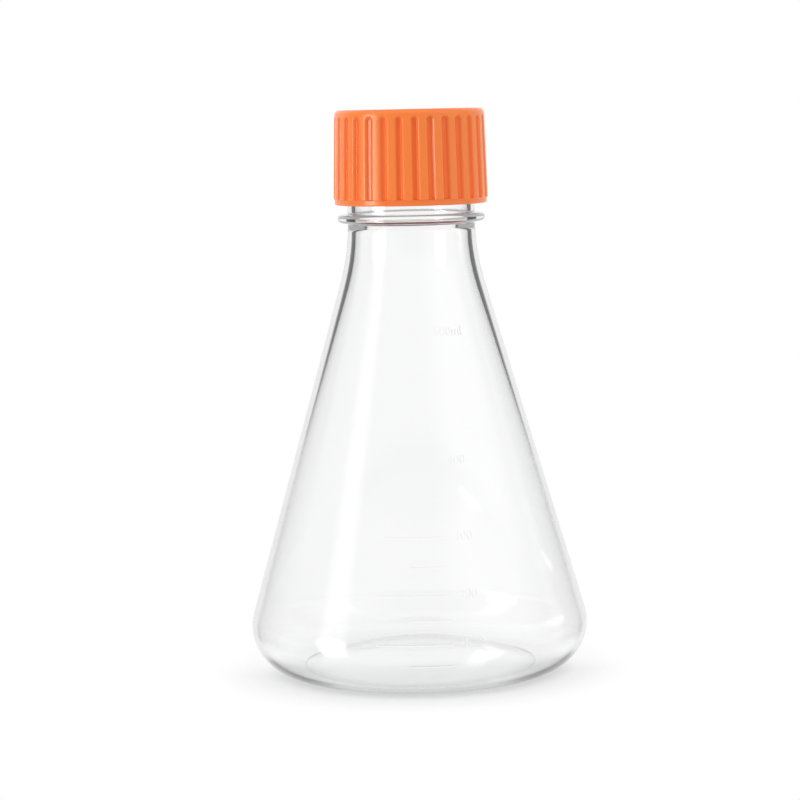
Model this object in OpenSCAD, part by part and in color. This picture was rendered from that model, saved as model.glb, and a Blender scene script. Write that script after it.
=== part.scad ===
// Shake flask for cell culture: a clear blown flask with a ribbed, vented screw cap.
// The origin is on the table under the centre of the flask. +Z is up, and the
// moulded graduations are on the front, which faces -Y.

/* [Flask] */
// Diameter at the widest, just above the heel
body_d = 103.4; // [90:0.1:120]
// Angle between the cone's side and the axis, in degrees
cone_angle = 16; // [13:0.5:19]
// Outer radius of the rounded heel
heel_r = 14.3; // [8:0.1:18]
// Wall of the floor, the heel and the lower cone
wall = 1.3; // [0.8:0.05:1.8]
// Height from which the cone's wall thickens towards the shoulder
thick_from = 55; // [40:1:90]
// How much more the inside leans above that height, in degrees
thick_lean = 1.2; // [0:0.1:3.5]
// Width of the ring that the flask stands on
foot_w = 1.8; // [1:0.1:4]
// Height of the push-up in the middle of the floor
punt_h = 7; // [3:0.1:10]
// Radius of the hollow curve that leads the cone into the neck
shoulder_r = 60; // [45:1:80]

/* [Neck] */
// Outer diameter of the neck
neck_d = 38.8; // [34:0.1:44]
// Wall of the neck
neck_wall = 2.3; // [1.6:0.05:2.8]
// Length of straight neck under the support bead
neck_h = 0.2; // [0.2:0.1:10]
// How far the support bead stands out from the neck
bead_out = 3; // [1.5:0.1:5]
// Thickness of the support bead where it meets the neck
bead_root = 3; // [2:0.1:4]
// Thickness of the support bead at its rounded rim
bead_rim = 2.1; // [1:0.1:2.6]
// Height of the lip above the middle of the bead
finish_h = 30.6; // [24:0.1:40]

/* [Graduations] */
// Volume between two lines, in millilitres
mark_step = 50; // [25:25:100]
// Volume at the highest line, in millilitres
mark_top = 500; // [300:50:500]
// How many lines make one long line and its spaces
mark_long_every = 2; // [1:1:4]
// Arc of a long line, in degrees
mark_long_arc = 26; // [12:1:40]
// Arc of a short line, in degrees
mark_short_arc = 15; // [6:1:30]
// Where every line ends, in degrees right of the front
mark_end = 11; // [0:0.5:25]
// Width of a line
mark_w = 0.8; // [0.4:0.1:1.5]
// How far a line stands out from the wall
mark_out = 0.25; // [0.1:0.05:0.5]

/* [Cap] */
// Outside height of the cap
cap_h = 28.6; // [22:0.1:30]
// Wall of the skirt behind the grooves
skirt_wall = 1.5; // [1.2:0.1:3]
// Draft of the ribbed skirt, in degrees
cap_draft = 1.8; // [0:0.1:2.5]
// Radius of the cap's upper edge
cap_edge_r = 1.6; // [0.5:0.1:2.5]
// Thickness of the cap's top
top_t = 2; // [1.6:0.1:3]
// Height of the plain band under the ribs
band_h = 1.8; // [1:0.1:4]
// How far the plain band lies inside the ribs
band_in = 0.3; // [0.1:0.05:0.6]
// Bevel at the foot of the skirt, inside and outside
foot_bevel = 0.4; // [0.1:0.05:0.6]
// Number of grooves between the ribs
flute_n = 30; // [20:1:40]
// Width of a groove at the skirt's face
flute_w = 2.7; // [1.2:0.1:3.4]
// Depth of a groove
flute_deep = 0.8; // [0.4:0.05:1]
// How far right of the front a groove stands on the closed cap, in degrees
rib_turn = 3.5; // [0:0.5:12]
// Plain face left above the arched end of a groove
flute_land = 0.3; // [0.1:0.1:2]
// Space between the neck and the skirt, where the screw threads run
thread_room = 1.8; // [1.6:0.1:2.6]
// Length of the sealing plug that reaches into the neck
plug_h = 5; // [2:0.1:8]
// Wall of the sealing plug
plug_wall = 1.3; // [0.8:0.1:2]
// Gap between the closed cap and the neck, at the lip and round the plug
seal_gap = 0.25; // [0.15:0.05:0.4]

/* [Vent] */
// Diameter of the vented part of the top
vent_d = 25; // [16:0.5:28]
// Diameter of the hub in the middle of the vent
hub_d = 7; // [4:0.5:10]
// Number of bars across the vent
vent_bars = 3; // [2:1:5]
// Width of a bar
bar_w = 2.2; // [1.2:0.1:4]
// Depth of the shallow round recess in the top
recess_deep = 0.6; // [0.2:0.1:1]
// Width of the rib under the top that carries the membrane
seat_w = 1.4; // [0.8:0.1:2]
// Height of that rib
seat_h = 0.6; // [0.3:0.1:1.2]
// Thickness of the membrane with its backing
membrane_t = 0.4; // [0.2:0.05:0.6]
// Gap between the membrane and its rib
membrane_gap = 0.1; // [0.05:0.05:0.3]

/* [Hidden] */
$fn = 180;
eps = 0.01; // overlap of a cut past the face it opens

CLEAR = [0.82, 0.88, 0.90, 0.45];
ORANGE = [0.94, 0.47, 0.20];

// Flask, outside: the heel's arc, the cone, the shoulder's arc and the neck.
// Each point is [radius, height].
neck_r = neck_d / 2;
heel_c = [body_d / 2 - heel_r, heel_r];
heel_end = heel_c + heel_r * [cos(cone_angle), sin(cone_angle)];
shoulder_c = shoulder_centre(heel_end, neck_r, shoulder_r, cone_angle);
shoulder_start = shoulder_c - shoulder_r * [cos(cone_angle), sin(cone_angle)];
shoulder_end = [neck_r, shoulder_c.y];

// Flask, inside: one wall further in up to thick_from, and then a steeper cone
bore_r = neck_r - neck_wall;
upper_angle = cone_angle + thick_lean;
inner_heel_r = heel_r - wall;
inner_heel_end = heel_c + inner_heel_r * [cos(cone_angle), sin(cone_angle)];
inner_bend = [inner_heel_end.x - (thick_from - inner_heel_end.y) * tan(cone_angle), thick_from];
inner_shoulder_c = shoulder_centre(inner_bend, bore_r, shoulder_r, upper_angle);
inner_shoulder_start = inner_shoulder_c
    - shoulder_r * [cos(upper_angle), sin(upper_angle)];
inner_shoulder_end = [bore_r, inner_shoulder_c.y];

// Floor: a shallow dome inside the ring that the flask stands on
punt_r = heel_c.x - foot_w;
dome_r = (punt_r * punt_r + punt_h * punt_h) / (2 * punt_h);
dome_z = punt_h - dome_r;

// Neck finish
bead_z = shoulder_end.y + neck_h + bead_root / 2;
bead_rim_c = [neck_r + bead_out - bead_rim / 2, bead_z];
lip_z = bead_z + finish_h;

// Cap: its top rests on the lip, and everything else hangs from there
cap_top = lip_z + seal_gap + top_t;
cap_foot = cap_top - cap_h;
cap_roof = cap_top - top_t;
cap_bore_r = neck_r + thread_room;
cap_r = cap_bore_r + skirt_wall + flute_deep; // over the ribs at their lower end
rib_foot = cap_foot + band_h;
rib_top = cap_top - cap_edge_r;
plug_r = bore_r - seal_gap;
vent_r = vent_d / 2;
membrane_r = vent_r + seat_w;
membrane_top = cap_roof - seat_h - membrane_gap;

// Centre of the arc that is tangent to the neck and to a cone's side
function shoulder_centre(cone_point, r_neck, r_arc, angle) =
    let (x = r_neck + r_arc,
         reach = r_arc - (x - cone_point.x) * cos(angle))
    [x, cone_point.y + reach / sin(angle)];

// Radius of the outer wall at a height below the neck
function outer_radius(z) =
    z < heel_end.y
        ? heel_c.x + sqrt(heel_r * heel_r - pow(z - heel_r, 2))
    : z < shoulder_start.y
        ? heel_end.x - (z - heel_end.y) * tan(cone_angle)
    : shoulder_c.x - sqrt(shoulder_r * shoulder_r - pow(z - shoulder_c.y, 2));

// Lean of the outer wall's face at that height, in degrees from upright
function outer_lean(z) =
    z < heel_end.y
        ? asin((z - heel_r) / heel_r)
    : z < shoulder_start.y
        ? cone_angle
    : asin((shoulder_c.y - z) / shoulder_r);

// Radius of the inner wall at any height up to the bore
function inner_radius(z) =
    z < inner_heel_end.y
        ? heel_c.x + sqrt(max(0, pow(inner_heel_r, 2) - pow(z - heel_r, 2)))
    : z < thick_from
        ? inner_bend.x + (thick_from - z) * tan(cone_angle)
    : z < inner_shoulder_start.y
        ? inner_bend.x - (z - thick_from) * tan(upper_angle)
    : z < inner_shoulder_end.y
        ? inner_shoulder_c.x - sqrt(pow(shoulder_r, 2) - pow(z - inner_shoulder_c.y, 2))
    : bore_r;

// Radius of the floor's dome at a height inside the flask
function dome_radius(z) = sqrt(max(0, pow(dome_r + wall, 2) - pow(z - dome_z, 2)));

// Area of the liquid's top at a height, and the height of a given volume
function liquid_area(z) =
    PI * (pow(inner_radius(z), 2) - (z < punt_h + wall ? pow(dome_radius(z), 2) : 0));
slice = 0.5;
ml = 1000;
fill_heights = [
    for (z = wall, v = 0; z < shoulder_end.y;
        v = v + liquid_area(z + slice / 2) * slice / ml, z = z + slice)
        [v, z]
];
neck_volume = fill_heights[len(fill_heights) - 1][0];
function fill_height(volume) = lookup(volume, fill_heights);

// Slice of a circle between two points on it, as seen from its centre
module arc_sector(centre, r, from, to) {
    reach = 2; // the triangle's corners lie well outside the arc
    intersection() {
        translate(centre) circle(r);
        polygon([centre, centre + reach * (from - centre), centre + reach * (to - centre)]);
    }
}

// Half section of a flask without its finish: solid from the axis outwards.
// cone lists the points between the heel's arc and the shoulder's arc.
module flask_section(r_heel, cone, c_shoulder, top) {
    foot = [heel_c.x, heel_c.y - r_heel];
    heel_top = cone[0];
    neck = c_shoulder - [shoulder_r, 0];
    difference() {
        union() {
            polygon(concat([[0, foot.y], foot, heel_c], cone, [neck, [neck.x, top], [0, top]]));
            intersection() {
                translate(heel_c) circle(r_heel);
                polygon([
                    foot, [heel_top.x + r_heel, foot.y], [heel_top.x + r_heel, heel_top.y],
                    heel_top, heel_c
                ]);
            }
        }
        arc_sector(c_shoulder, shoulder_r, cone[len(cone) - 1], neck);
    }
}

// Support bead: tapers to a rounded rim
module bead_section() {
    polygon([
        [bore_r + eps, bead_z - bead_root / 2], [neck_r, bead_z - bead_root / 2],
        [bead_rim_c.x, bead_z - bead_rim / 2], [bead_rim_c.x, bead_z + bead_rim / 2],
        [neck_r, bead_z + bead_root / 2], [bore_r + eps, bead_z + bead_root / 2]
    ]);
    translate(bead_rim_c) circle(d = bead_rim);
}

// Wall of the neck above the bead, with a fully rounded lip
module finish_section() {
    round_z = lip_z - neck_wall / 2;
    translate([bore_r, bead_z]) square([neck_wall, round_z - bead_z]);
    translate([bore_r + neck_wall / 2, round_z]) circle(d = neck_wall);
}

// One raised graduation line at a fill volume
module graduation(volume, arc) {
    z = fill_height(volume);
    sunk = wall / 3;
    rotate([0, 0, -90 + mark_end - arc])
        rotate_extrude(angle = arc)
            translate([outer_radius(z), z])
                rotate(outer_lean(z))
                    polygon([
                        [-sunk, -mark_w / 2], [0, -mark_w / 2], [mark_out, -mark_w / 4],
                        [mark_out, mark_w / 4], [0, mark_w / 2], [-sunk, mark_w / 2]
                    ]);
}

// Clear flask, blown in one piece
module flask_body() {
    color(CLEAR) {
        rotate_extrude()
            union() {
                difference() {
                    flask_section(heel_r, [heel_end, shoulder_start], shoulder_c, bead_z);
                    difference() {
                        flask_section(inner_heel_r, [inner_heel_end, inner_bend, inner_shoulder_start],
                            inner_shoulder_c, bead_z + eps);
                        translate([0, dome_z]) circle(dome_r + wall);
                    }
                    translate([0, dome_z]) circle(dome_r);
                }
                bead_section();
                finish_section();
            }
        for (v = [mark_step : mark_step : min(mark_top, neck_volume)])
            graduation(v, v % (mark_step * mark_long_every) == 0 ? mark_long_arc : mark_short_arc);
    }
}

// Half section of the plain band at the foot of the skirt
module band_section() {
    band_r = cap_r - band_in;
    polygon([
        [cap_bore_r, cap_foot + foot_bevel], [cap_bore_r + foot_bevel, cap_foot],
        [band_r - foot_bevel, cap_foot], [band_r, cap_foot + foot_bevel],
        [band_r, rib_foot], [cap_bore_r, rib_foot]
    ]);
}

// Half section of the cap above the band, before its grooves and vent are cut
module shell_section() {
    top_r = cap_r - (rib_top - rib_foot) * tan(cap_draft);
    edge_c = [top_r - cap_edge_r, rib_top];
    polygon([
        [cap_bore_r, rib_foot], [cap_r, rib_foot], [top_r, rib_top], edge_c,
        [edge_c.x, cap_top], [0, cap_top], [0, cap_roof], [cap_bore_r, cap_roof]
    ]);
    intersection() {
        translate(edge_c) circle(cap_edge_r);
        translate(edge_c) square(2 * cap_edge_r);
    }
    // sealing plug
    translate([plug_r - plug_wall, cap_roof - plug_h]) square([plug_wall, plug_h + eps]);
    // rib that the membrane is welded to
    translate([vent_r, cap_roof - seat_h]) square([seat_w, seat_h + eps]);
}

// Cutter for the groove between two ribs: it leans with the skirt and has an arched end
module flute() {
    length = rib_top - rib_foot - flute_land - flute_w / 2;
    translate([cap_r - flute_deep, 0, rib_foot])
        rotate([0, -cap_draft, 0])
            rotate([90, 0, 90])
                linear_extrude(2 * flute_deep) {
                    translate([-flute_w / 2, -band_h]) square([flute_w, length + band_h]);
                    translate([0, length]) circle(d = flute_w);
                }
}

// Openings round the hub, with the bars left standing between them
module vent_windows() {
    difference() {
        translate([0, 0, cap_roof - seat_h - eps]) cylinder(d = vent_d, h = top_t + seat_h + 2 * eps);
        translate([0, 0, cap_roof]) cylinder(d = hub_d, h = top_t);
        for (i = [0 : vent_bars - 1])
            rotate(i * 180 / vent_bars)
                translate([-vent_d, -bar_w / 2, cap_roof]) cube([2 * vent_d, bar_w, top_t]);
    }
}

// Orange screw cap, moulded in one piece
module cap_shell() {
    color(ORANGE)
        difference() {
            union() {
                rotate_extrude() band_section();
                difference() {
                    rotate_extrude() shell_section();
                    for (i = [0 : flute_n - 1])
                        rotate(-90 + rib_turn + i * 360 / flute_n) flute();
                }
            }
            vent_windows();
            translate([0, 0, cap_top - recess_deep])
                cylinder(r = membrane_r, h = recess_deep + eps);
        }
}

// White gas-exchange membrane under the vent
module vent_membrane() {
    color("white")
        translate([0, 0, membrane_top - membrane_t]) cylinder(r = membrane_r, h = membrane_t);
}

flask_body();
cap_shell();
vent_membrane();
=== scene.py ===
"""Looks of a clear culture flask with a vented, ribbed screw cap. Lengths are in metres."""

import math

import bpy
from mathutils import Matrix, Quaternion, Vector


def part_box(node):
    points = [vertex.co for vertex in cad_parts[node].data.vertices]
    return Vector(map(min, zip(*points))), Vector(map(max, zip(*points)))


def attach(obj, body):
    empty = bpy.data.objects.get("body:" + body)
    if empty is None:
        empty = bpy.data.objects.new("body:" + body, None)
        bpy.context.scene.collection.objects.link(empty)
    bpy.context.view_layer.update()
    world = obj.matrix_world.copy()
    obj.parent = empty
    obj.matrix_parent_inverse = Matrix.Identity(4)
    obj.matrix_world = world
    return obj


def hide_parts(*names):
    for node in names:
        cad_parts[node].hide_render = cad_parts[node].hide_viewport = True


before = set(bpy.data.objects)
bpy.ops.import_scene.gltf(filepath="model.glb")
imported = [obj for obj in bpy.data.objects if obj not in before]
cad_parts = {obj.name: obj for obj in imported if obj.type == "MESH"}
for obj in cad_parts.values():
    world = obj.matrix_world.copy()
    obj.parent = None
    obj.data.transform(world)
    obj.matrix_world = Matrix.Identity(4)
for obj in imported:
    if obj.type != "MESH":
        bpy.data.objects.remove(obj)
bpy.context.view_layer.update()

MM = 0.001
EPS = 0.01 * MM  # overlap of pieces that are cut or joined
WELD = EPS / 10  # points this near become one

# Places that the frame gives
flask_low, flask_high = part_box("flask_body")
cap_low, cap_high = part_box("cap_shell")
film_low, film_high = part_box("vent_membrane")
BODY_R = (flask_high.x - flask_low.x) / 2
LIP_Z = flask_high.z
CAP_R = (cap_high.x - cap_low.x) / 2
CAP_FOOT = cap_low.z
CAP_TOP = cap_high.z

# Flask: the same sizes as its source
CONE = math.radians(16)  # lean of the side
HEEL_R = 14.3 * MM
WALL = 1.3 * MM
THICK_FROM = 55 * MM  # height above which the wall grows
UPPER_CONE = CONE + math.radians(1.2)  # lean of the inside from there on
FOOT_W = 1.8 * MM  # width of the standing ring
PUNT_H = 7 * MM  # rise of the pushed-up floor
SHOULDER_R = 60 * MM
NECK_R = 19.4 * MM
NECK_WALL = 2.3 * MM
FINISH_H = 30.6 * MM  # from the middle of the bead to the lip
BEAD_OUT = 3.0 * MM
BEAD_ROOT = 3 * MM
BEAD_RIM = 2.1 * MM
BEAD_EDGE_R = 0.95 * MM
BEAD_ROOT_R = 0.35 * MM
FOOT_EDGE_R = 0.8 * MM
FLOOR_EDGE_R = 2 * MM
WALL_BEND_R = 300 * MM  # where the inside starts to lean more
FLASK_SIDES = 288
FLASK_STEP = 4 * MM  # longest stretch of its section

BORE_R = NECK_R - NECK_WALL
BEAD_Z = LIP_Z - FINISH_H
HEEL_X = BODY_R - HEEL_R
INNER_HEEL_R = HEEL_R - WALL
INNER_HEEL_TOP = HEEL_R + INNER_HEEL_R * math.sin(CONE)
PUNT_R = HEEL_X - FOOT_W
DOME_R = (PUNT_R**2 + PUNT_H**2) / (2 * PUNT_H)
DOME_Z = PUNT_H - DOME_R

# Graduations
MARKS = range(50, 501, 50)  # millilitres
NUMBERED = 100  # a long line with a number at each multiple of this
LONG_ARC = math.radians(26)
SHORT_ARC = math.radians(15)
MARK_END = math.radians(11)  # right of the front
MARK_W = 0.8 * MM
MARK_OUT = 0.25 * MM
MARK_TIP = 1.2 * MM  # length over which a line rises at each end
NUMBER_START = math.radians(14)
TOP_NUMBER_START = math.radians(12.5)
NUMBER_OUT = 0.3 * MM
NUMBER_H = 2.9 * MM
NUMBER_W = 1.75 * MM  # from one character to the next
NUMBER_DEEP = 0.2 * MM  # half of the raised characters' thickness
DIGIT_SHARE = 0.7  # a digit's height in its font size

# Thread: a right-hand one, whose pitch the joint's coupling gives
PITCH = 4.23 * MM
THREAD_SUNK = 0.3 * MM  # depth of its root in the wall
RUN_OUT = 0.06  # share of its length over which it grows at each end
END_SIZE = 0.25  # share of its section at the very ends
THREAD_STEPS = 96  # for each turn
CAP_THREAD_UP = 2.5 * MM  # least height of its start above the cap's foot
NECK_THREAD = {"z": 149.2 * MM, "turns": 3.4, "root": 2.1 * MM, "crest": 0.9 * MM, "rise": 1.4 * MM}
CAP_THREAD = {"turns": 2.2, "root": 2.0 * MM, "crest": 0.9 * MM, "rise": 1.3 * MM}

# Cap: the same sizes as its source
RIBS = 30
BAND_H = 1.8 * MM  # the plain band at its foot
BAND_IN = 0.3 * MM
CAP_DRAFT = math.radians(1.8)
RIB_TURN = math.radians(3.5)  # a groove stands this far right of the front
CAP_EDGE_R = 1.6 * MM
BAND_STEP = 0.15 * MM  # height over which the skirt steps in to the band
TOP_T = 2 * MM
CAP_BORE_R = NECK_R + 1.8 * MM
FLUTE_W = 2.7 * MM
FLUTE_DEEP = 0.8 * MM
FLUTE_LAND = 0.3 * MM  # plain skirt between a groove's arch and the top edge
FLUTE_LIP = 0.06 * MM  # a groove's side begins this far outside its outline
FLUTE_SIDE = 0.95 * MM  # width over which it falls to its full depth
FLUTE_COLUMNS = [0, 0.42, 0.56, 0.7, 0.84, 0.98, 1.12, 1.26, 1.41, 1.8]  # mm from a groove's middle
SKIRT_STEP = 3 * MM
ARCH_STEP = 0.16 * MM
CAP_STEP = 4 * MM
CAP_EDGES = {  # radii of its small edges
    "seat": 0.1 * MM,
    "plug_inside": 0.4 * MM,
    "plug_outside": 0.5 * MM,
    "bore": 0.3 * MM,
    "foot": 0.4 * MM,
    "band": 0.12 * MM,
    "rib_foot": 0.2 * MM,
    "recess": 0.2 * MM,
    "recess_floor": 0.15 * MM,
    "window_hub": 0.15 * MM,
    "window_rim": 0.4 * MM,
}
PLUG_R = BORE_R - 0.25 * MM
PLUG_WALL = 1.3 * MM
PLUG_H = 5 * MM
VENT_R = 12.5 * MM
HUB_R = 3.5 * MM
BAR_W = 2.2 * MM
VENT_BARS = 3  # each runs right across
RECESS = 0.6 * MM
SEAT_W = 1.4 * MM
SEAT_H = 0.6 * MM
CAP_ROOF = CAP_TOP - TOP_T
RIB_FOOT = CAP_FOOT + BAND_H
RIB_TOP = CAP_TOP - CAP_EDGE_R

# Membrane
FILM_SAG = 0.06 * MM
FILM_EDGE_R = 0.08 * MM
FILM_WELD = (0.9 * MM, 0.3 * MM)  # outside the vent, where its pressed rim ends, on top and below
FILM_SIDES = 120
FILM_STEP = 2 * MM


# ---------------------------------------------------------------- outlines


def arc(centre, radius, start, end, steps):
    """Points on an arc, from one angle to another."""
    turns = [start + (end - start) * i / steps for i in range(steps + 1)]
    return [(centre[0] + radius * math.cos(t), centre[1] + radius * math.sin(t)) for t in turns]


def rounded(corners, step=math.radians(5)):
    """Open outline through (x, z, radius) corners, each rounded by an arc of its radius."""
    points = [corners[0][:2]]
    for before, corner, after in zip(corners, corners[1:], corners[2:]):
        p = Vector(corner[:2])
        u = (Vector(before[:2]) - p).normalized()
        v = (Vector(after[:2]) - p).normalized()
        turn = math.pi - u.angle(v)
        if corner[2] <= 0 or turn < 1e-4:
            points.append(tuple(p))
            continue
        reach = corner[2] * math.tan(turn / 2)
        centre = p + (u + v).normalized() * corner[2] / math.cos(turn / 2)
        first = p + u * reach - centre
        side = 1 if u.x * v.y - u.y * v.x < 0 else -1
        count = max(2, math.ceil(turn / step))
        for i in range(count + 1):
            spin = Matrix.Rotation(side * turn * i / count, 2)
            points.append(tuple(centre + spin @ first))
    points.append(corners[-1][:2])
    return points


def spaced(points, longest):
    """The same outline with no stretch longer than the given length."""
    result = [points[0]]
    for a, b in zip(points, points[1:]):
        count = max(1, math.ceil(math.dist(a, b) / longest))
        result += [(a[0] + (b[0] - a[0]) * i / count, a[1] + (b[1] - a[1]) * i / count)
                   for i in range(1, count + 1)]
    return result


def on_cone(x, z, lean, at):
    """Radius, at one height, of a cone's side through the point (x, z)."""
    return x - (at - z) * math.tan(lean)


HEEL_END = (HEEL_X + HEEL_R * math.cos(CONE), HEEL_R + HEEL_R * math.sin(CONE))
INNER_HEEL_END = (HEEL_X + INNER_HEEL_R * math.cos(CONE), INNER_HEEL_TOP)
INNER_BEND_X = on_cone(*INNER_HEEL_END, CONE, THICK_FROM)
NECK_FOOT_Z = HEEL_END[1] + (HEEL_END[0] - NECK_R) / math.tan(CONE)
BORE_FOOT_Z = THICK_FROM + (INNER_BEND_X - BORE_R) / math.tan(UPPER_CONE)


def flask_outline():
    """Section of the flask from the axis under its floor, over the lip, to the axis above it."""
    dome = arc((0, DOME_Z), DOME_R, math.pi / 2, math.acos(PUNT_R / DOME_R), 18)
    floor_r = DOME_R + WALL
    floor_edge = math.sqrt(floor_r**2 - (WALL - DOME_Z) ** 2)
    floor = arc((0, DOME_Z), floor_r, math.acos(floor_edge / floor_r), math.pi / 2, 18)
    lip_r = NECK_WALL / 2 - EPS
    corners = [(x, z, 0) for x, z in dome[:-1]]
    corners += [
        (*dome[-1], FOOT_EDGE_R),
        (on_cone(*HEEL_END, CONE, 0), 0, HEEL_R),
        (NECK_R, NECK_FOOT_Z, SHOULDER_R),
        (NECK_R, BEAD_Z - BEAD_ROOT / 2, BEAD_ROOT_R),
        (NECK_R + BEAD_OUT, BEAD_Z - BEAD_RIM / 2, BEAD_EDGE_R),
        (NECK_R + BEAD_OUT, BEAD_Z + BEAD_RIM / 2, BEAD_EDGE_R),
        (NECK_R, BEAD_Z + BEAD_ROOT / 2, BEAD_ROOT_R),
        (NECK_R, LIP_Z, lip_r),
        (BORE_R, LIP_Z, lip_r),
        (BORE_R, BORE_FOOT_Z, SHOULDER_R),
        (INNER_BEND_X, THICK_FROM, WALL_BEND_R),
        (on_cone(*INNER_HEEL_END, CONE, WALL), WALL, INNER_HEEL_R),
        (*floor[0], FLOOR_EDGE_R),
    ]
    corners += [(x, z, 0) for x, z in floor[1:]]
    return spaced(rounded(corners), FLASK_STEP)


def outer_wall(z):
    """Radius and lean of the flask's outside at a height between the heel and the neck."""
    shoulder_x = NECK_R + SHOULDER_R
    shoulder_z = NECK_FOOT_Z + SHOULDER_R * math.tan(CONE / 2)
    if z < HEEL_END[1]:
        return HEEL_X + math.sqrt(HEEL_R**2 - (z - HEEL_R) ** 2), math.asin((z - HEEL_R) / HEEL_R)
    if z < shoulder_z - SHOULDER_R * math.sin(CONE):
        return on_cone(*HEEL_END, CONE, z), CONE
    rise = shoulder_z - z
    return shoulder_x - math.sqrt(SHOULDER_R**2 - rise**2), math.asin(rise / SHOULDER_R)


def inner_area(z):
    """Area of the liquid's top at a height inside the flask."""
    shoulder_z = BORE_FOOT_Z + SHOULDER_R * math.tan(UPPER_CONE / 2)
    if z < INNER_HEEL_TOP:
        r = HEEL_X + math.sqrt(max(0, INNER_HEEL_R**2 - (z - HEEL_R) ** 2))
    elif z < THICK_FROM:
        r = on_cone(*INNER_HEEL_END, CONE, z)
    elif z < shoulder_z - SHOULDER_R * math.sin(UPPER_CONE):
        r = on_cone(INNER_BEND_X, THICK_FROM, UPPER_CONE, z)
    else:
        r = BORE_R + SHOULDER_R - math.sqrt(SHOULDER_R**2 - (shoulder_z - z) ** 2)
    dome = max(0, (DOME_R + WALL) ** 2 - (z - DOME_Z) ** 2)
    return math.pi * (r**2 - (dome if z < PUNT_H + WALL else 0))


def fill_heights():
    """Height of the liquid at each marked volume, in millilitres."""
    step = 0.25 * MM
    ml = 1e-6
    heights = {}
    z = WALL
    volume = 0
    for mark in MARKS:
        while volume < mark * ml:
            volume += inner_area(z + step / 2) * step
            z += step
        heights[mark] = z
    return heights


# ---------------------------------------------------------------- meshes


def new_object(name, mesh):
    """An object of that mesh at the origin, in the scene."""
    made = bpy.data.objects.new(name, mesh)
    bpy.context.scene.collection.objects.link(made)
    return made


def mesh_object(name, points, faces):
    """An object of those points and faces."""
    mesh = bpy.data.meshes.new(name)
    mesh.from_pydata(points, [], faces)
    return new_object(name, mesh)


def sector(name, outline, columns, radius_at=None):
    """A wedge of a turned form: its outline at each of the columns' angles round the Z axis.

    radius_at(x, z, angle) may move a point in or out."""
    points = []
    for turn in columns:
        for x, z in outline:
            r = radius_at(x, z, turn) if radius_at else x
            points.append((r * math.cos(turn), r * math.sin(turn), z))
    n = len(outline)
    faces = []
    for c in range(len(columns) - 1):
        for i in range(n - 1):
            a, b = c * n + i, (c + 1) * n + i
            ring = [a, b, b + 1, a + 1]
            if outline[i][0] < WELD:
                ring = [a, b + 1, a + 1]
            elif outline[i + 1][0] < WELD:
                ring = [a, b, a + 1]
            faces.append(ring)
    return mesh_object(name, points, faces)


def prism(name, outline, low, high):
    """An upright prism on a flat outline, closed at both ends."""
    n = len(outline)
    points = [(x, y, low) for x, y in outline] + [(x, y, high) for x, y in outline]
    faces = [list(range(n))[::-1], list(range(n, 2 * n))]
    faces += [[i, (i + 1) % n, n + (i + 1) % n, n + i] for i in range(n)]
    return mesh_object(name, points, faces)


# ---------------------------------------------------------------- node trees


def add(tree, kind, inputs=None, **settings):
    """A new node with those settings. A socket among the inputs is linked; other values are set."""
    made = tree.nodes.new(kind)
    for name, value in settings.items():
        setattr(made, name, value)
    for key, value in (inputs or {}).items():
        if isinstance(value, bpy.types.NodeSocket):
            tree.links.new(value, made.inputs[key])
        else:
            made.inputs[key].default_value = value
    return made


def math_node(tree, operation, *values):
    """The result of one Math node."""
    return add(tree, "ShaderNodeMath", dict(enumerate(values)), operation=operation).outputs[0]


def upward(tree, value):
    """A vector along Z, or a turn about it."""
    return add(tree, "ShaderNodeCombineXYZ", {"Z": value}).outputs[0]


def geometry_tree(name, inputs):
    """An empty geometry tree with named inputs, and its input node."""
    tree = bpy.data.node_groups.new(name, "GeometryNodeTree")
    tree.is_modifier = True
    tree.interface.new_socket("Geometry", in_out="INPUT", socket_type="NodeSocketGeometry")
    for socket, kind in inputs.items():
        tree.interface.new_socket(socket, in_out="INPUT", socket_type=kind)
    tree.interface.new_socket("Geometry", in_out="OUTPUT", socket_type="NodeSocketGeometry")
    return tree, add(tree, "NodeGroupInput").outputs


def end_tree(tree, geometry, material):
    """Realizes what the tree made, smooths it, gives it its material and puts it out."""
    real = add(tree, "GeometryNodeRealizeInstances", {"Geometry": geometry}).outputs[0]
    smooth = add(tree, "GeometryNodeSetShadeSmooth", {"Geometry": real}).outputs[0]
    done = add(tree, "GeometryNodeSetMaterial", {"Geometry": smooth, "Material": material})
    add(tree, "NodeGroupOutput", {"Geometry": done.outputs[0]})
    return tree


def ring_tree():
    """Repeats one sector round the Z axis and welds the sectors into one skin."""
    tree, given = geometry_tree(
        "ring_of_sectors",
        {"Count": "NodeSocketInt", "Weld": "NodeSocketFloat", "Material": "NodeSocketMaterial"},
    )
    step = math_node(tree, "DIVIDE", math.tau, given["Count"])
    index = add(tree, "GeometryNodeInputIndex").outputs[0]
    turn = upward(tree, math_node(tree, "MULTIPLY", index, step))
    points = add(tree, "GeometryNodePoints", {"Count": given["Count"]}).outputs[0]
    ring = add(
        tree,
        "GeometryNodeInstanceOnPoints",
        {"Points": points, "Instance": given["Geometry"], "Rotation": turn},
    ).outputs[0]
    real = add(tree, "GeometryNodeRealizeInstances", {"Geometry": ring}).outputs[0]
    skin = add(tree, "GeometryNodeMergeByDistance", {"Geometry": real, "Distance": given["Weld"]})
    return end_tree(tree, skin.outputs[0], given["Material"])


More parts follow.
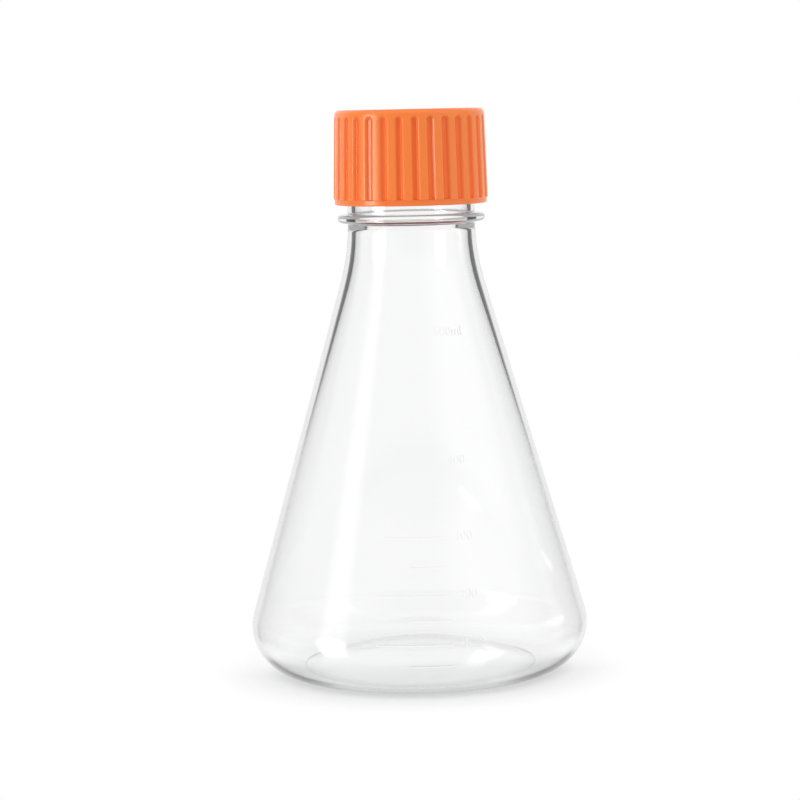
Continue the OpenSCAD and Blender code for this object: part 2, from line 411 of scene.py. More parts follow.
def thread_tree():
    """Sweeps a tapering ridge along a right-hand helix."""
    tree, given = geometry_tree(
        "screw_thread",
        {
            "Turns": "NodeSocketFloat",
            "Pitch": "NodeSocketFloat",
            "Radius": "NodeSocketFloat",
            "Height": "NodeSocketFloat",
            "Run-out": "NodeSocketFloat",
            "Material": "NodeSocketMaterial",
        },
    )
    lift = math_node(tree, "MULTIPLY", given["Turns"], given["Pitch"])
    helix = add(
        tree,
        "GeometryNodeCurveSpiral",
        {
            "Resolution": THREAD_STEPS,
            "Rotations": given["Turns"],
            "Start Radius": given["Radius"],
            "End Radius": given["Radius"],
            "Height": lift,
            "Reverse": True,
        },
    ).outputs[0]
    raised = add(
        tree,
        "GeometryNodeTransform",
        {"Geometry": helix, "Translation": upward(tree, given["Height"])},
    ).outputs[0]
    upright = add(tree, "GeometryNodeSetCurveNormal", {"Curve": raised}, mode="Z_UP").outputs[0]
    along = add(tree, "GeometryNodeSplineParameter").outputs["Factor"]
    from_end = math_node(tree, "MINIMUM", along, math_node(tree, "SUBTRACT", 1.0, along))
    size = add(
        tree,
        "ShaderNodeMapRange",
        {"Value": from_end, "From Max": given["Run-out"], "To Min": END_SIZE},
        interpolation_type="SMOOTHSTEP",
    ).outputs[0]
    sized = add(tree, "GeometryNodeSetCurveRadius", {"Curve": upright, "Radius": size}).outputs[0]
    section = add(tree, "GeometryNodeMeshToCurve", {"Mesh": given["Geometry"]}).outputs[0]
    ridge = add(
        tree,
        "GeometryNodeCurveToMesh",
        {"Curve": sized, "Profile Curve": section, "Fill Caps": True},
    )
    if "Scale" in ridge.inputs:
        tree.links.new(size, ridge.inputs["Scale"])
    return end_tree(tree, ridge.outputs[0], given["Material"])


def grown(piece, tree, values):
    """The plain mesh that a tree makes of a piece, put in place of the piece's own mesh."""
    modifier = piece.modifiers.new(tree.name, "NODES")
    modifier.node_group = tree
    for item in tree.interface.items_tree:
        if item.in_out == "INPUT" and item.name in values:
            modifier[item.identifier] = values[item.name]
    return applied(piece)


def applied(piece):
    """The piece with its modifiers made part of its mesh."""
    view = bpy.context.evaluated_depsgraph_get()
    view.update()
    mesh = bpy.data.meshes.new_from_object(piece.evaluated_get(view))
    piece.modifiers.clear()
    old = piece.data
    piece.data = mesh
    bpy.data.meshes.remove(old)
    return piece


def combine(piece, tools, operation):
    """Joins the tools to the piece, or cuts them out of it, and removes them."""
    for tool in tools:
        modifier = piece.modifiers.new(operation.lower(), "BOOLEAN")
        modifier.operation = operation
        modifier.solver = "MANIFOLD"
        modifier.object = tool
    applied(piece)
    for tool in tools:
        bpy.data.objects.remove(tool)
    return piece


def finish_mesh(piece, material, angle):
    """One material, and smooth shading with hard edges where faces turn by more than the angle."""
    mesh = piece.data
    mesh.materials.clear()
    mesh.materials.append(material)
    mesh.polygons.foreach_set("material_index", [0] * len(mesh.polygons))
    mesh.shade_smooth()
    mesh.set_sharp_from_angle(angle=angle)
    return piece


def keep_wall_normals(piece, blank):
    """Gives the piece the blank's normals where their surfaces are the same. The blank goes."""
    copy = piece.modifiers.new("normals", "DATA_TRANSFER")
    copy.object = blank
    copy.use_loop_data = True
    copy.data_types_loops = {"CUSTOM_NORMAL"}
    copy.loop_mapping = "POLYINTERP_NEAREST"
    copy.use_max_distance = True
    copy.max_distance = 2 * EPS
    applied(piece)
    bpy.data.objects.remove(blank)


# ---------------------------------------------------------------- materials

LAMP_THROUGH = (0.82, 0.825, 0.83, 1)  # colour of the lamps' light behind the clear plastic
TRAPPED_AFTER = 2.5  # light mirrored more often than this inside its wall is taken as caught
# level of the painted glow given to that caught light
TRAPPED_LIGHT = 0.4
# Painted shade: the darker, redder colour inside the cap's grooves
GROOVE_SHADE_COLOUR = ((0.95, 0.145, 0.014), (0.98, 0.165, 0.02))
RIB_COLOUR = ((0.98, 0.22, 0.034), (1.0, 0.255, 0.046))
RIB_FACE = 0.15 * MM  # depth in a rib's face at which the painted groove shade has ended and the rib's own colour is full
WHITE_FILM = ((0.74, 0.74, 0.72), (0.88, 0.88, 0.87))


def effect_group(name, inputs, outputs):
    """An empty shader node group with named inputs and outputs, and its input and output nodes."""
    tree = bpy.data.node_groups.new(name, "ShaderNodeTree")
    for socket, (kind, value) in inputs.items():
        made = tree.interface.new_socket(socket, in_out="INPUT", socket_type=kind)
        if value is not None:
            made.default_value = value
    for socket, kind in outputs.items():
        tree.interface.new_socket(socket, in_out="OUTPUT", socket_type=kind)
    return tree, add(tree, "NodeGroupInput").outputs, add(tree, "NodeGroupOutput").inputs


def noise(tree, place, scale, detail=2.0, rough=0.5):
    """The value of a Noise texture at a place."""
    inputs = {"Vector": place, "Scale": scale, "Detail": detail, "Roughness": rough}
    return add(tree, "ShaderNodeTexNoise", inputs).outputs[0]


def between(tree, value, low, high):
    """A value from 0 to 1 stretched over low to high."""
    bounds = {"Value": value, "To Min": low, "To Max": high}
    return add(tree, "ShaderNodeMapRange", bounds).outputs[0]


def faded(tree, value, none, full):
    """0 to 1, softly, as the value goes from the one bound to the other."""
    bounds = {"Value": value, "From Min": none, "From Max": full}
    return add(tree, "ShaderNodeMapRange", bounds, interpolation_type="SMOOTHSTEP").outputs[0]


def vector_length(tree, vector):
    """The length of a vector."""
    return add(tree, "ShaderNodeVectorMath", {0: vector}, operation="LENGTH").outputs["Value"]


def moulded_skin():
    """Fine grain, slow waviness and uneven gloss of a plastic that took its skin from a mould."""
    tree, given, out = effect_group(
        "moulded_skin",
        {
            "Grain size": ("NodeSocketFloat", 0.2 * MM),
            "Grain depth": ("NodeSocketFloat", 0.0),
            "Wave size": ("NodeSocketFloat", 12 * MM),
            "Wave depth": ("NodeSocketFloat", 0.0),
            "Gloss low": ("NodeSocketFloat", 0.1),
            "Gloss high": ("NodeSocketFloat", 0.2),
        },
        {"Normal": "NodeSocketVector", "Roughness": "NodeSocketFloat", "Mottle": "NodeSocketFloat"},
    )
    place = add(tree, "ShaderNodeTexCoord").outputs["Object"]
    grain = noise(tree, place, math_node(tree, "DIVIDE", 1.0, given["Grain size"]), 2.0)
    wave = noise(tree, place, math_node(tree, "DIVIDE", 1.0, given["Wave size"]), 1.0)
    slow = add(
        tree, "ShaderNodeBump", {"Strength": 1.0, "Distance": given["Wave depth"], "Height": wave}
    ).outputs[0]
    fine = add(
        tree,
        "ShaderNodeBump",
        {"Strength": 1.0, "Distance": given["Grain depth"], "Height": grain, "Normal": slow},
    ).outputs[0]
    tree.links.new(fine, out["Normal"])
    mottle = noise(tree, place, math_node(tree, "DIVIDE", 0.6, given["Wave size"]), 4.0, 0.6)
    tree.links.new(mottle, out["Mottle"])
    gloss = add(
        tree,
        "ShaderNodeMapRange",
        {"Value": mottle, "From Min": 0.3, "From Max": 0.7, "To Min": given["Gloss low"],
         "To Max": given["Gloss high"]},
    ).outputs[0]
    tree.links.new(gloss, out["Roughness"])
    return tree


def new_material(name):
    """A material with an empty tree, and its tree."""
    made = bpy.data.materials.new(name)
    made.use_nodes = True
    made.node_tree.nodes.clear()
    return made, made.node_tree


def placed(tree, group, inputs):
    """An effect's group in a material, with that material's own values."""
    made = tree.nodes.new("ShaderNodeGroup")
    made.node_tree = group
    for name, value in inputs.items():
        made.inputs[name].default_value = value
    return made.outputs


def tinted(tree, mask, low, high):
    """A colour between two, by a mask."""
    mix = add(tree, "ShaderNodeMix", {0: mask, 6: (*low, 1), 7: (*high, 1)}, data_type="RGBA")
    return mix.outputs[2]


def clear_plastic(skin):
    """Clear, faintly wavy blown plastic. Lamps shine through it.

    Light that is mirrored inside the wall again and again would end as black; it gets a painted
    grey glow instead."""
    made, tree = new_material("clear_plastic")
    effect = placed(
        tree,
        skin,
        {"Grain size": 0.5 * MM, "Grain depth": 0.0002 * MM, "Wave size": 16 * MM,
         "Wave depth": 0.012 * MM, "Gloss low": 0.015, "Gloss high": 0.035},
    )
    plastic = add(
        tree,
        "ShaderNodeBsdfPrincipled",
        {
            "Base Color": tinted(tree, effect["Mottle"], (0.985, 0.988, 0.988), (1.0, 1.0, 1.0)),
            "Roughness": effect["Roughness"],
            "Normal": effect["Normal"],
            "IOR": 1.58,
            "Transmission Weight": 1.0,
        },
    ).outputs[0]
    through = add(tree, "ShaderNodeBsdfTransparent", {"Color": LAMP_THROUGH}).outputs[0]
    lamp_ray = add(tree, "ShaderNodeLightPath").outputs["Is Shadow Ray"]
    bounced = add(tree, "ShaderNodeLightPath").outputs["Glossy Depth"]
    trapped = math_node(tree, "GREATER_THAN", bounced, TRAPPED_AFTER)
    # Painted glow: light caught in the wall shows grey in place of black
    painted_glow = add(tree, "ShaderNodeEmission", {"Strength": TRAPPED_LIGHT}).outputs[0]
    clear = add(tree, "ShaderNodeMixShader", {0: trapped, 1: plastic, 2: painted_glow}).outputs[0]
    mix = add(tree, "ShaderNodeMixShader", {0: lamp_ray, 1: clear, 2: through}).outputs[0]
    add(tree, "ShaderNodeOutputMaterial", {"Surface": mix})
    return made


def orange_plastic(skin):
    """Orange cap plastic with a satin skin, with painted shade, darker and redder, inside its
    grooves.
    """
    made, tree = new_material("orange_plastic")
    effect = placed(
        tree,
        skin,
        {"Grain size": 0.25 * MM, "Grain depth": 0.002 * MM, "Wave size": 9 * MM,
         "Wave depth": 0.02 * MM, "Gloss low": 0.14, "Gloss high": 0.2},
    )
    place = add(tree, "ShaderNodeTexCoord").outputs["Object"]
    axes = add(tree, "ShaderNodeSeparateXYZ", {0: place}).outputs
    flat = add(tree, "ShaderNodeVectorMath", {0: place, 1: (1, 1, 0)}, operation="MULTIPLY")
    from_axis = vector_length(tree, flat.outputs[0])
    above_foot = math_node(tree, "SUBTRACT", axes["Z"], RIB_FOOT)
    skirt = math_node(tree, "MULTIPLY_ADD", above_foot, math.tan(CAP_DRAFT), from_axis)
    # Painted shade in the grooves: the colour turns darker and redder with depth below the rib
    # faces
    face = faded(tree, skirt, CAP_R - FLUTE_DEEP, CAP_R - RIB_FACE)
    groove = tinted(tree, effect["Mottle"], *GROOVE_SHADE_COLOUR)
    rib = tinted(tree, effect["Mottle"], *RIB_COLOUR)
    colour = add(tree, "ShaderNodeMix", {0: face, 6: groove, 7: rib}, data_type="RGBA").outputs[2]
    plastic = add(
        tree,
        "ShaderNodeBsdfPrincipled",
        {
            "Base Color": colour,
            "Roughness": effect["Roughness"],
            "Normal": effect["Normal"],
            "IOR": 1.5,
            "Subsurface Weight": 0.25,
            "Subsurface Radius": (1.0, 0.35, 0.1),
            "Subsurface Scale": 1.2 * MM,
        },
    ).outputs[0]
    add(tree, "ShaderNodeOutputMaterial", {"Surface": plastic})
    return made


def white_membrane(skin):
    """White felted film with fine fibres."""
    made, tree = new_material("white_membrane")
    effect = placed(
        tree,
        skin,
        {"Grain size": 0.12 * MM, "Grain depth": 0.02 * MM, "Wave size": 4 * MM,
         "Wave depth": 0.03 * MM, "Gloss low": 0.8, "Gloss high": 0.95},
    )
    place = add(tree, "ShaderNodeTexCoord").outputs["Object"]
    fibres = add(
        tree,
        "ShaderNodeTexNoise",
        {"Vector": place, "Scale": 2500.0, "Detail": 3.0, "Distortion": 2.5},
    ).outputs[0]
    film = add(
        tree,
        "ShaderNodeBsdfPrincipled",
        {
            "Base Color": tinted(tree, fibres, *WHITE_FILM),
            "Roughness": effect["Roughness"],
            "Normal": effect["Normal"],
            "Sheen Weight": 0.2,
        },
    ).outputs[0]
    add(tree, "ShaderNodeOutputMaterial", {"Surface": film})
    return made


# ---------------------------------------------------------------- pieces


def thread_ridge(name, tree, material, size, radius, z, inward=False):
    """A helical ridge that stands on the radius, outwards or inwards, rooted a little inside it."""
    out = -1 if inward else 1
    root, crest, rise = size["root"] / 2, size["crest"] / 2, size["rise"]
    section = [(-THREAD_SUNK, -root), (0, -root), (rise, -crest)]
    section += [(x, -y) for x, y in section[::-1]]
    n = len(section)
    points = [(out * x, y, 0) for x, y in section]
    mesh = bpy.data.meshes.new(name)
    mesh.from_pydata(points, [(i, (i + 1) % n) for i in range(n)], [])
    ridge = grown(
        new_object(name, mesh),
        tree,
        {"Turns": size["turns"], "Pitch": PITCH, "Radius": radius, "Height": z,
         "Run-out": RUN_OUT, "Material": material},
    )
    if inward:
        ridge.data.flip_normals()
    return ridge


def mark_line(z, sweep):
    """One raised graduation line across the front of the flask, with rounded ends."""
    radius, lean = outer_wall(z)
    sunk = WALL / 3
    length = sweep * radius
    tip = [MARK_TIP * x for x in (0, 0.08, 0.25, 0.5, 0.75)]
    count = math.ceil((length - 2 * MARK_TIP) / MM)
    middle = [MARK_TIP + (length - 2 * MARK_TIP) * i / count for i in range(count + 1)]
    stations = tip + middle + [length - x for x in tip[::-1]]
    start = -math.pi / 2 + MARK_END - sweep
    points = []
    for along in stations:
        turn = start + along / radius
        end = min(along, length - along, MARK_TIP) / MARK_TIP
        full = math.sqrt(1 - (1 - end) ** 2)
        half = MARK_W / 2 * (0.4 + 0.6 * full)
        rise = MARK_OUT * (1.2 * full - 0.2)
        section = [(-sunk, -half), (-EPS, -half), (rise, -half / 4)]
        section += [(out, -up) for out, up in section[::-1]]
        for out, up in section:
            r = radius + out * math.cos(lean) - up * math.sin(lean)
            height = z + out * math.sin(lean) + up * math.cos(lean)
            points.append((r * math.cos(turn), r * math.sin(turn), height))
    n = len(section)
    last = (len(stations) - 1) * n
    faces = [list(range(n)), [last + i for i in range(n)][::-1]]
    for s in range(0, last, n):
        for i in range(n):
            a, b = s + i, s + (i + 1) % n
            faces.append([a, a + n, b + n, b])
    return mesh_object("mark_line", points, faces)


def raised_words(words, z, start):
    """Raised characters that follow the flask's wall, from an angle right of the front."""
    text = bpy.data.curves.new("words", "FONT")
    text.body = words
    text.size = NUMBER_H / DIGIT_SHARE
    text.space_character = 1.05
    text.align_y = "CENTER"
    text.extrude = NUMBER_DEEP
    text.resolution_u = 3
    piece = applied_text("number_" + words, text)
    radius, lean = outer_wall(z)
    narrow = NUMBER_W * len(words) / piece.dimensions.x
    for v in piece.data.vertices:
        up = v.co.y
        at = z + up * math.cos(lean)
        r, tilt = outer_wall(at)
        turn = start + v.co.x * narrow / radius
        out = v.co.z - NUMBER_DEEP + NUMBER_OUT
        r += out * math.cos(tilt)
        v.co = (r * math.sin(turn), -r * math.cos(turn), at + out * math.sin(tilt))
    return piece


def applied_text(name, text):
    """The closed mesh of a text."""
    source = new_object(name, text)
    view = bpy.context.evaluated_depsgraph_get()
    view.update()
    mesh = bpy.data.meshes.new_from_object(source.evaluated_get(view))
    bpy.data.objects.remove(source)
    piece = new_object(name, mesh)
    weld = piece.modifiers.new("weld", "WELD")
    weld.merge_threshold = EPS / 5
    return applied(piece)


def make_flask(ring, thread, material):
    """The blown flask with its neck thread, graduation lines and numbers."""
    strip = sector("flask", flask_outline(), [0, math.tau / FLASK_SIDES])
    flask = grown(strip, ring, {"Count": FLASK_SIDES, "Weld": WELD, "Material": material})
    tools = [thread_ridge("neck_thread", thread, material, NECK_THREAD, NECK_R, NECK_THREAD["z"])]
    for mark, z in fill_heights().items():
        numbered = mark % NUMBERED == 0
        tools.append(mark_line(z, LONG_ARC if numbered else SHORT_ARC))
        if mark == MARKS[-1]:
            tools.append(raised_words(f"{mark}ml", z, TOP_NUMBER_START))
        elif numbered:
            tools.append(raised_words(str(mark), z, NUMBER_START))
    blank = new_object("blank", flask.data.copy())
    combine(flask, tools, "UNION")
    finish_mesh(flask, material, math.radians(32))
    keep_wall_normals(flask, blank)
    return flask


def flute_depth(z, across):
    """How far a groove sinks the skirt at a height and at a distance across the groove."""
    half = FLUTE_W / 2
    top = RIB_TOP - FLUTE_LAND - half
    inside = half - (math.hypot(across, z - top) if z > top else abs(across))
    share = min(1, max(0, (inside + FLUTE_LIP) / FLUTE_SIDE))
    return FLUTE_DEEP * share * share * (3 - 2 * share)


def cap_outline():
    """Section of the cap from the axis under its roof, round the skirt, to the axis on its top."""
    top_r = CAP_R - (RIB_TOP - RIB_FOOT) * math.tan(CAP_DRAFT)
    band_r = CAP_R - BAND_IN
    recess_r = VENT_R + SEAT_W
    plug_in = PLUG_R - PLUG_WALL
    plug_foot = CAP_ROOF - PLUG_H
    edge = CAP_EDGES
    corners = [
        (0, CAP_ROOF, 0),
        (VENT_R, CAP_ROOF, 0),
        (VENT_R, CAP_ROOF - SEAT_H, edge["seat"]),
        (recess_r, CAP_ROOF - SEAT_H, edge["seat"]),
        (recess_r, CAP_ROOF, 0),
        (plug_in, CAP_ROOF, 0),
        (plug_in, plug_foot, edge["plug_inside"]),
        (PLUG_R, plug_foot, edge["plug_outside"]),
        (PLUG_R, CAP_ROOF, 0),
        (CAP_BORE_R, CAP_ROOF, edge["bore"]),
        (CAP_BORE_R, CAP_FOOT, edge["foot"]),
        (band_r, CAP_FOOT, edge["foot"]),
        (band_r, RIB_FOOT - BAND_STEP, edge["band"]),
        (CAP_R, RIB_FOOT, edge["rib_foot"]),
        (top_r + 0.02 * MM, CAP_TOP, CAP_EDGE_R),
        (recess_r, CAP_TOP, edge["recess"]),
        (recess_r, CAP_TOP - RECESS, edge["recess_floor"]),
        (0, CAP_TOP - RECESS, 0),
    ]
    outline = rounded(corners, math.radians(12))
    arch = RIB_TOP - FLUTE_LAND - FLUTE_W
    fine = []
    for a, b in zip(outline, outline[1:]):
        rise = b[1] - a[1]
        if a[0] > CAP_BORE_R + MM and rise > 5 * MM:
            middle = (a[0] + (b[0] - a[0]) * (arch - a[1]) / rise, arch)
            fine += spaced([a, middle], SKIRT_STEP)[:-1]
            fine += spaced([middle, b], ARCH_STEP)[:-1]
        else:
            fine += spaced([a, b], CAP_STEP)[:-1]
    return fine + [outline[-1]]


def window_outline():
    """Plan of one opening in the cap's top, between two bars, the hub and the rim."""
    step = math.pi / VENT_BARS
    inner = math.asin(BAR_W / 2 / HUB_R)
    outer = math.asin(BAR_W / 2 / VENT_R)
    hub = [(*p, 0) for p in arc((0, 0), HUB_R, step - inner, inner, 5)]
    rim = [(*p, 0) for p in arc((0, 0), VENT_R, outer, step - outer, 20)]
    hub[-1] = (*hub[-1][:2], CAP_EDGES["window_hub"])
    rim[0] = (*rim[0][:2], CAP_EDGES["window_rim"])
    rim[-1] = (*rim[-1][:2], CAP_EDGES["window_rim"])
    loop = hub + rim
    return rounded(loop + [loop[0]], math.radians(20))[:-1]


def make_cap(ring, thread, material):
    """The ribbed cap with its sealing plug, inner thread and vent openings."""
    across = [x * MM / CAP_R for x in FLUTE_COLUMNS] + [math.pi / RIBS]
    columns = [-x for x in across[:0:-1]] + across

    def ribbed(x, z, turn):
        if x < CAP_BORE_R + MM / 2 or z < RIB_FOOT - EPS or z > RIB_TOP:
            return x
        return x - flute_depth(z, abs(turn) * x)

    wedge = sector("cap", cap_outline(), columns, ribbed)
    cap = grown(wedge, ring, {"Count": RIBS, "Weld": WELD, "Material": material})
    turned = RIB_TURN - math.pi / 2
    # Midway between the neck's turns once the cap is turned, and one whole pitch or more lower
    midway = NECK_THREAD["z"] + PITCH * (1 / 2 + turned / math.tau)
    z = midway - PITCH * math.floor((midway - CAP_FOOT - CAP_THREAD_UP) / PITCH)
    ridge = thread_ridge("cap_thread", thread, material, CAP_THREAD, CAP_BORE_R, z, inward=True)
    combine(cap, [ridge], "UNION")
    cap.data.transform(Matrix.Rotation(turned, 4, "Z"))
    low, high = CAP_ROOF - SEAT_H - 0.2 * MM, CAP_TOP + MM
    window = prism("window", window_outline(), low, high)
    cutters = grown(window, ring, {"Count": 2 * VENT_BARS, "Weld": 0.0, "Material": material})
    combine(cap, [cutters], "DIFFERENCE")
    return finish_mesh(cap, material, math.radians(38))


def make_membrane(ring, material):
    """The vent's film: a thin disc that sags a little inside its pressed rim."""
    r = film_high.x
    low, high = film_low.z, film_high.z
    corners = [
        (0, low, 0),
        (VENT_R / 2, low, 0),
        (r, low, FILM_EDGE_R),
        (r, high, FILM_EDGE_R),
        (VENT_R + FILM_WELD[0], high, 0.1 * MM),
        (VENT_R + FILM_WELD[1], high - FILM_SAG, 0.3 * MM),
        (0, high - FILM_SAG / 2, 0),
    ]
    outline = spaced(rounded(corners, math.radians(20)), FILM_STEP)
    strip = sector("vent_film", outline, [0, math.tau / FILM_SIDES])
    film = grown(strip, ring, {"Count": FILM_SIDES, "Weld": WELD, "Material": material})
    return finish_mesh(film, material, math.radians(35))


# ---------------------------------------------------------------- studio

# Brightness of the room round the object: degrees clockwise from straight behind it, and level
ROOM = [
    (-180, 0.6), (-70, 0.6), (-64, 0.9), (-54, 0.9), (-35, 0.94), (-20, 0.95), (-14, 1.0),
    (14, 1.0), (20, 0.95), (35, 0.94), (54, 0.9), (66, 0.9), (80, 0.6), (100, 1.0),
    (140, 1.0), (165, 0.6),
]
CEILING_FROM = (38, 55)  # degrees up where it begins and is full
CEILING = 0.8
GROUND_FROM = (-19, -27)
GROUND = 0.98

# Dark cards beside the background, for the flask's edges: degrees from straight behind it
FLAG_FROM = (26, 35)  # where a card begins and is full
FLAG_TO = (75, 60)  # where it has ended and is still full
FLAG_LEVEL = 0.02

# The narrow softbox on the left, in front, as the flask mirrors it
PANEL_TURN = math.radians(-117)
PANEL_SIDES = (14, 5)  # degrees from its middle where it has ended and is full
PANEL_TOP = (15, 3)  # degrees up where it has faded and is full
PANEL_LEVEL = 6.5
PANEL_ABOVE = 0.1  # share of its brightness above its top

SOFT_LIGHT = 0.6  # the room's light on the pieces themselves
EYE = (-0.0046, -0.803, 0.1719)
LOOK_DOWN = math.radians(6.30)
ROLL = math.radians(1.22)
LENS = 118.5
LAMP_AIM = (0, 0, 0.09)
# Width and height, degrees right of the front, distance, height and power of each lamp
LAMPS = {
    "left_softbox": ((0.24, 0.8), -64, 0.9, 0.25, 2.9),
    "right_softbox": ((0.6, 0.8), 66, 1.0, 0.25, 2.0),
    "top_softbox": ((0.7, 0.7), 0, 0.1, 0.95, 3.0),
}

# Table. Places on it are distances from its middle
TABLE_R = 650 * MM
TABLE_GREY = 0.8
FRONT = (12 * MM, -12 * MM)  # Y where the look of its front half begins and is full
PASSING = (60 * MM, 90 * MM)  # rays through the flask pass the table from here on
# Painted shade: a dark ring on the table, seen only by rays through one clear wall, that darkens
# the flask's heel
SHADE_RING = (34 * MM, 39 * MM)  # where the painted dark ring of shade under the heel begins and is full
SHADE_RING_TO = (57 * MM, 50 * MM)
SHADE_RING_SIDES = (0.5, 0.85)  # how far to the side the painted shade begins and is full, as the sine of the turn
SHADE_RING_LEVEL = 0.08

# Share of the lit table in the look of the table near the object: a painted shadow ring round the
# foot, through which the real shadow from the lamps also shows
SHADOW_R = 70 * MM
SHADOW = [
    (0, 0.3), (29 * MM, 0.35), (36 * MM, 0.62), (41 * MM, 0.58), (49 * MM, 0.28), (66 * MM, 0),
]
REAR_SHADOW = 0.35  # how much of the painted shadow shows behind the object


def softbox(name, size, degrees, distance, height, power):
    """A soft rectangular lamp that the camera, mirror and see-through rays don't show."""
    light = bpy.data.lights.new(name, "AREA")
    light.shape = "RECTANGLE"
    light.size, light.size_y = size
    light.energy = power
    made = new_object(name, light)
    turn = math.radians(degrees)
    place = Vector((distance * math.sin(turn), -distance * math.cos(turn), height))
    made.location = place
    made.rotation_mode = "QUATERNION"
    made.rotation_quaternion = (Vector(LAMP_AIM) - place).to_track_quat("-Z", "Y")
    made.visible_camera = False
    made.visible_glossy = False
    made.visible_transmission = False


def faded_by_turn(tree, value, degrees):
    """0 to 1 as an angle goes from the one to the other of two, given in degrees."""
    return faded(tree, value, *map(math.radians, degrees))


def faded_by_height(tree, value, degrees):
    """0 to 1 as a direction's Z goes from the one to the other of two, in degrees up."""
    return faded(tree, value, *[math.sin(math.radians(x)) for x in degrees])


def blended(tree, share, first, second):
    """A value between two, by a share."""
    values = {0: share, 2: first, 3: second}
    return add(tree, "ShaderNodeMix", values, data_type="FLOAT").outputs[0]


def mixed(tree, share, first, second):
    """A shader between two, by a share."""
    return add(tree, "ShaderNodeMixShader", {0: share, 1: first, 2: second}).outputs[0]


def product(tree, first, *others):
    """All the values multiplied."""
    for value in others:
        first = math_node(tree, "MULTIPLY", first, value)
    return first


def seen_directly(tree):
    """1 for rays that show the background itself: camera, mirror and see-through rays."""
    path = add(tree, "ShaderNodeLightPath").outputs
    first = math_node(tree, "MAXIMUM", path["Is Camera Ray"], path["Is Glossy Ray"])
    return math_node(tree, "MAXIMUM", first, path["Is Transmission Ray"])


def seen_in_wall(tree):
    """1 for rays that went into a clear wall and out of it once, as at the flask's edges."""
    crossed = add(tree, "ShaderNodeLightPath").outputs["Transmission Depth"]
    return math_node(tree, "COMPARE", crossed, 2.0, 0.5)


def level_ramp(tree, place, stops):
    """A grey level that runs through (place, level) stops."""
    ramp = add(tree, "ShaderNodeValToRGB", {"Fac": place})
    made = ramp.color_ramp.elements
    for i, (at, level) in enumerate(stops):
        stop = made[i] if i < 2 else made.new(1.0)
        stop.position = at
        stop.color = (level, level, level, 1)
    return ramp


def floor_material():
    """Pale table: near the object a painted shadow ring, mixed with the real shadow from the lamps;
    plain white away from it.

    Rays from the flask's edges also see a painted dark ring of shade on it, which darkens the heel."""
    made, tree = new_material("pale_floor")
    place = add(tree, "ShaderNodeTexCoord").outputs["Object"]
    axes = add(tree, "ShaderNodeSeparateXYZ", {0: place}).outputs
    far = vector_length(tree, place)
    # Painted shadow: this ramp sets how much of the lit, shaded table shows near the object
    ramp = level_ramp(
        tree,
        math_node(tree, "DIVIDE", far, SHADOW_R),
        [(r / SHADOW_R, share) for r, share in SHADOW],
    )
    ramp.color_ramp.interpolation = "EASE"
    grey = (TABLE_GREY, TABLE_GREY, TABLE_GREY, 1)
    lit = add(tree, "ShaderNodeBsdfDiffuse", {"Color": grey}).outputs[0]
    white = add(tree, "ShaderNodeEmission", {"Strength": 1.0}).outputs[0]
    front = faded(tree, axes["Y"], *FRONT)
    shaded = product(tree, ramp.outputs[0], between(tree, front, REAR_SHADOW, 1.0))
    near = mixed(tree, shaded, white, lit)
    see_through = add(tree, "ShaderNodeLightPath").outputs["Is Transmission Ray"]
    passing = product(tree, faded(tree, far, *PASSING), see_through)
    clear = add(tree, "ShaderNodeBsdfTransparent").outputs[0]
    open_floor = mixed(tree, passing, near, clear)
    across = math_node(tree, "ABSOLUTE", axes["X"])
    # Painted shade: the dark ring under the heel, for rays through one clear wall
    side = faded(tree, math_node(tree, "DIVIDE", across, far), *SHADE_RING_SIDES)
    ring = product(tree, faded(tree, far, *SHADE_RING), faded(tree, far, *SHADE_RING_TO))
    ring_shade = product(tree, ring, side, front, seen_in_wall(tree))
    dark = add(tree, "ShaderNodeEmission", {"Strength": SHADE_RING_LEVEL}).outputs[0]
    table = mixed(tree, ring_shade, open_floor, dark)
    seen = mixed(tree, seen_directly(tree), lit, table)
    add(tree, "ShaderNodeOutputMaterial", {"Surface": seen})
    return made


def make_floor():
    """A round table top just under the object."""
    points = [(x, y, 0) for x, y in arc((0, 0), TABLE_R, 0, math.tau, 96)[:-1]]
    floor = mesh_object("floor", points, [list(range(len(points)))])
    floor.data.materials.append(floor_material())


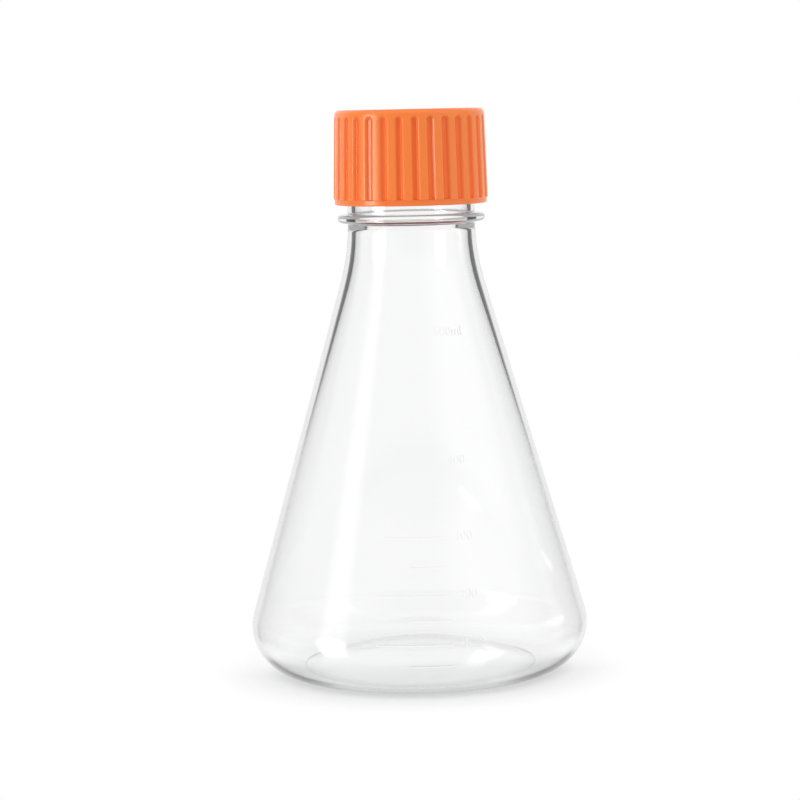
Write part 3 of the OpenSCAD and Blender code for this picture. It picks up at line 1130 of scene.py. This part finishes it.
def make_world():
    """Plain white for the camera, and a bright room with one softbox for mirror and bent rays.

    Rays from the flask's edges also see a dark card at each side of the background."""
    world = bpy.data.worlds.new("studio")
    bpy.context.scene.world = world
    world.use_nodes = True
    tree = world.node_tree
    tree.nodes.clear()
    way = add(tree, "ShaderNodeTexCoord").outputs["Generated"]
    axes = add(tree, "ShaderNodeSeparateXYZ", {0: way}).outputs
    turn = math_node(tree, "ARCTAN2", axes["X"], axes["Y"])
    share = math_node(tree, "MULTIPLY_ADD", turn, 1 / math.tau, 0.5)
    ramp = level_ramp(tree, share, [(degrees / 360 + 0.5, level) for degrees, level in ROOM])
    off = math_node(tree, "ABSOLUTE", math_node(tree, "SUBTRACT", turn, PANEL_TURN))
    panel = faded_by_turn(tree, off, PANEL_SIDES)
    lower = faded_by_height(tree, axes["Z"], PANEL_TOP)
    bright = product(tree, panel, between(tree, lower, PANEL_ABOVE, 1.0), PANEL_LEVEL)
    level = math_node(tree, "ADD", ramp.outputs["Color"], bright)
    level = blended(tree, faded_by_height(tree, axes["Z"], CEILING_FROM), level, CEILING)
    level = blended(tree, faded_by_height(tree, axes["Z"], GROUND_FROM), level, GROUND)
    aside = math_node(tree, "ABSOLUTE", turn)
    begun = faded_by_turn(tree, aside, FLAG_FROM)
    flag = product(tree, begun, faded_by_turn(tree, aside, FLAG_TO), seen_in_wall(tree))
    level = blended(tree, flag, level, FLAG_LEVEL)
    by_camera = add(tree, "ShaderNodeLightPath").outputs["Is Camera Ray"]
    level = blended(tree, by_camera, level, 1.0)
    white = (1, 1, 1, 1)
    back = add(tree, "ShaderNodeBackground", {"Strength": level, "Color": white}).outputs[0]
    soft = add(tree, "ShaderNodeBackground", {"Strength": SOFT_LIGHT, "Color": white}).outputs[0]
    seen = mixed(tree, seen_directly(tree), soft, back)
    add(tree, "ShaderNodeOutputWorld", {"Surface": seen})


def make_camera():
    """A long lens at the height of the cap's top, turned down to the middle of the flask."""
    data = bpy.data.cameras.new("camera")
    data.sensor_width = 36
    data.lens = LENS
    camera = new_object("camera", data)
    camera.location = EYE
    camera.rotation_mode = "QUATERNION"
    ahead = Vector((0.0, math.cos(LOOK_DOWN), -math.sin(LOOK_DOWN)))
    level = ahead.to_track_quat("-Z", "Y")
    camera.rotation_quaternion = level @ Quaternion((0, 0, 1), -ROLL)
    bpy.context.scene.camera = camera


make_camera()
make_world()
for name, values in LAMPS.items():
    softbox(name, *values)
make_floor()

ring = ring_tree()
thread = thread_tree()
skin = moulded_skin()

flask = make_flask(ring, thread, clear_plastic(skin))
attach(flask, "flask")
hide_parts("flask_body")

cap = make_cap(ring, thread, orange_plastic(skin))
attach(cap, "cap")
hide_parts("cap_shell")

film = make_membrane(ring, white_membrane(skin))
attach(film, "cap_lift")
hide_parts("vent_membrane")

bpy.context.scene.view_settings.view_transform = "Standard"
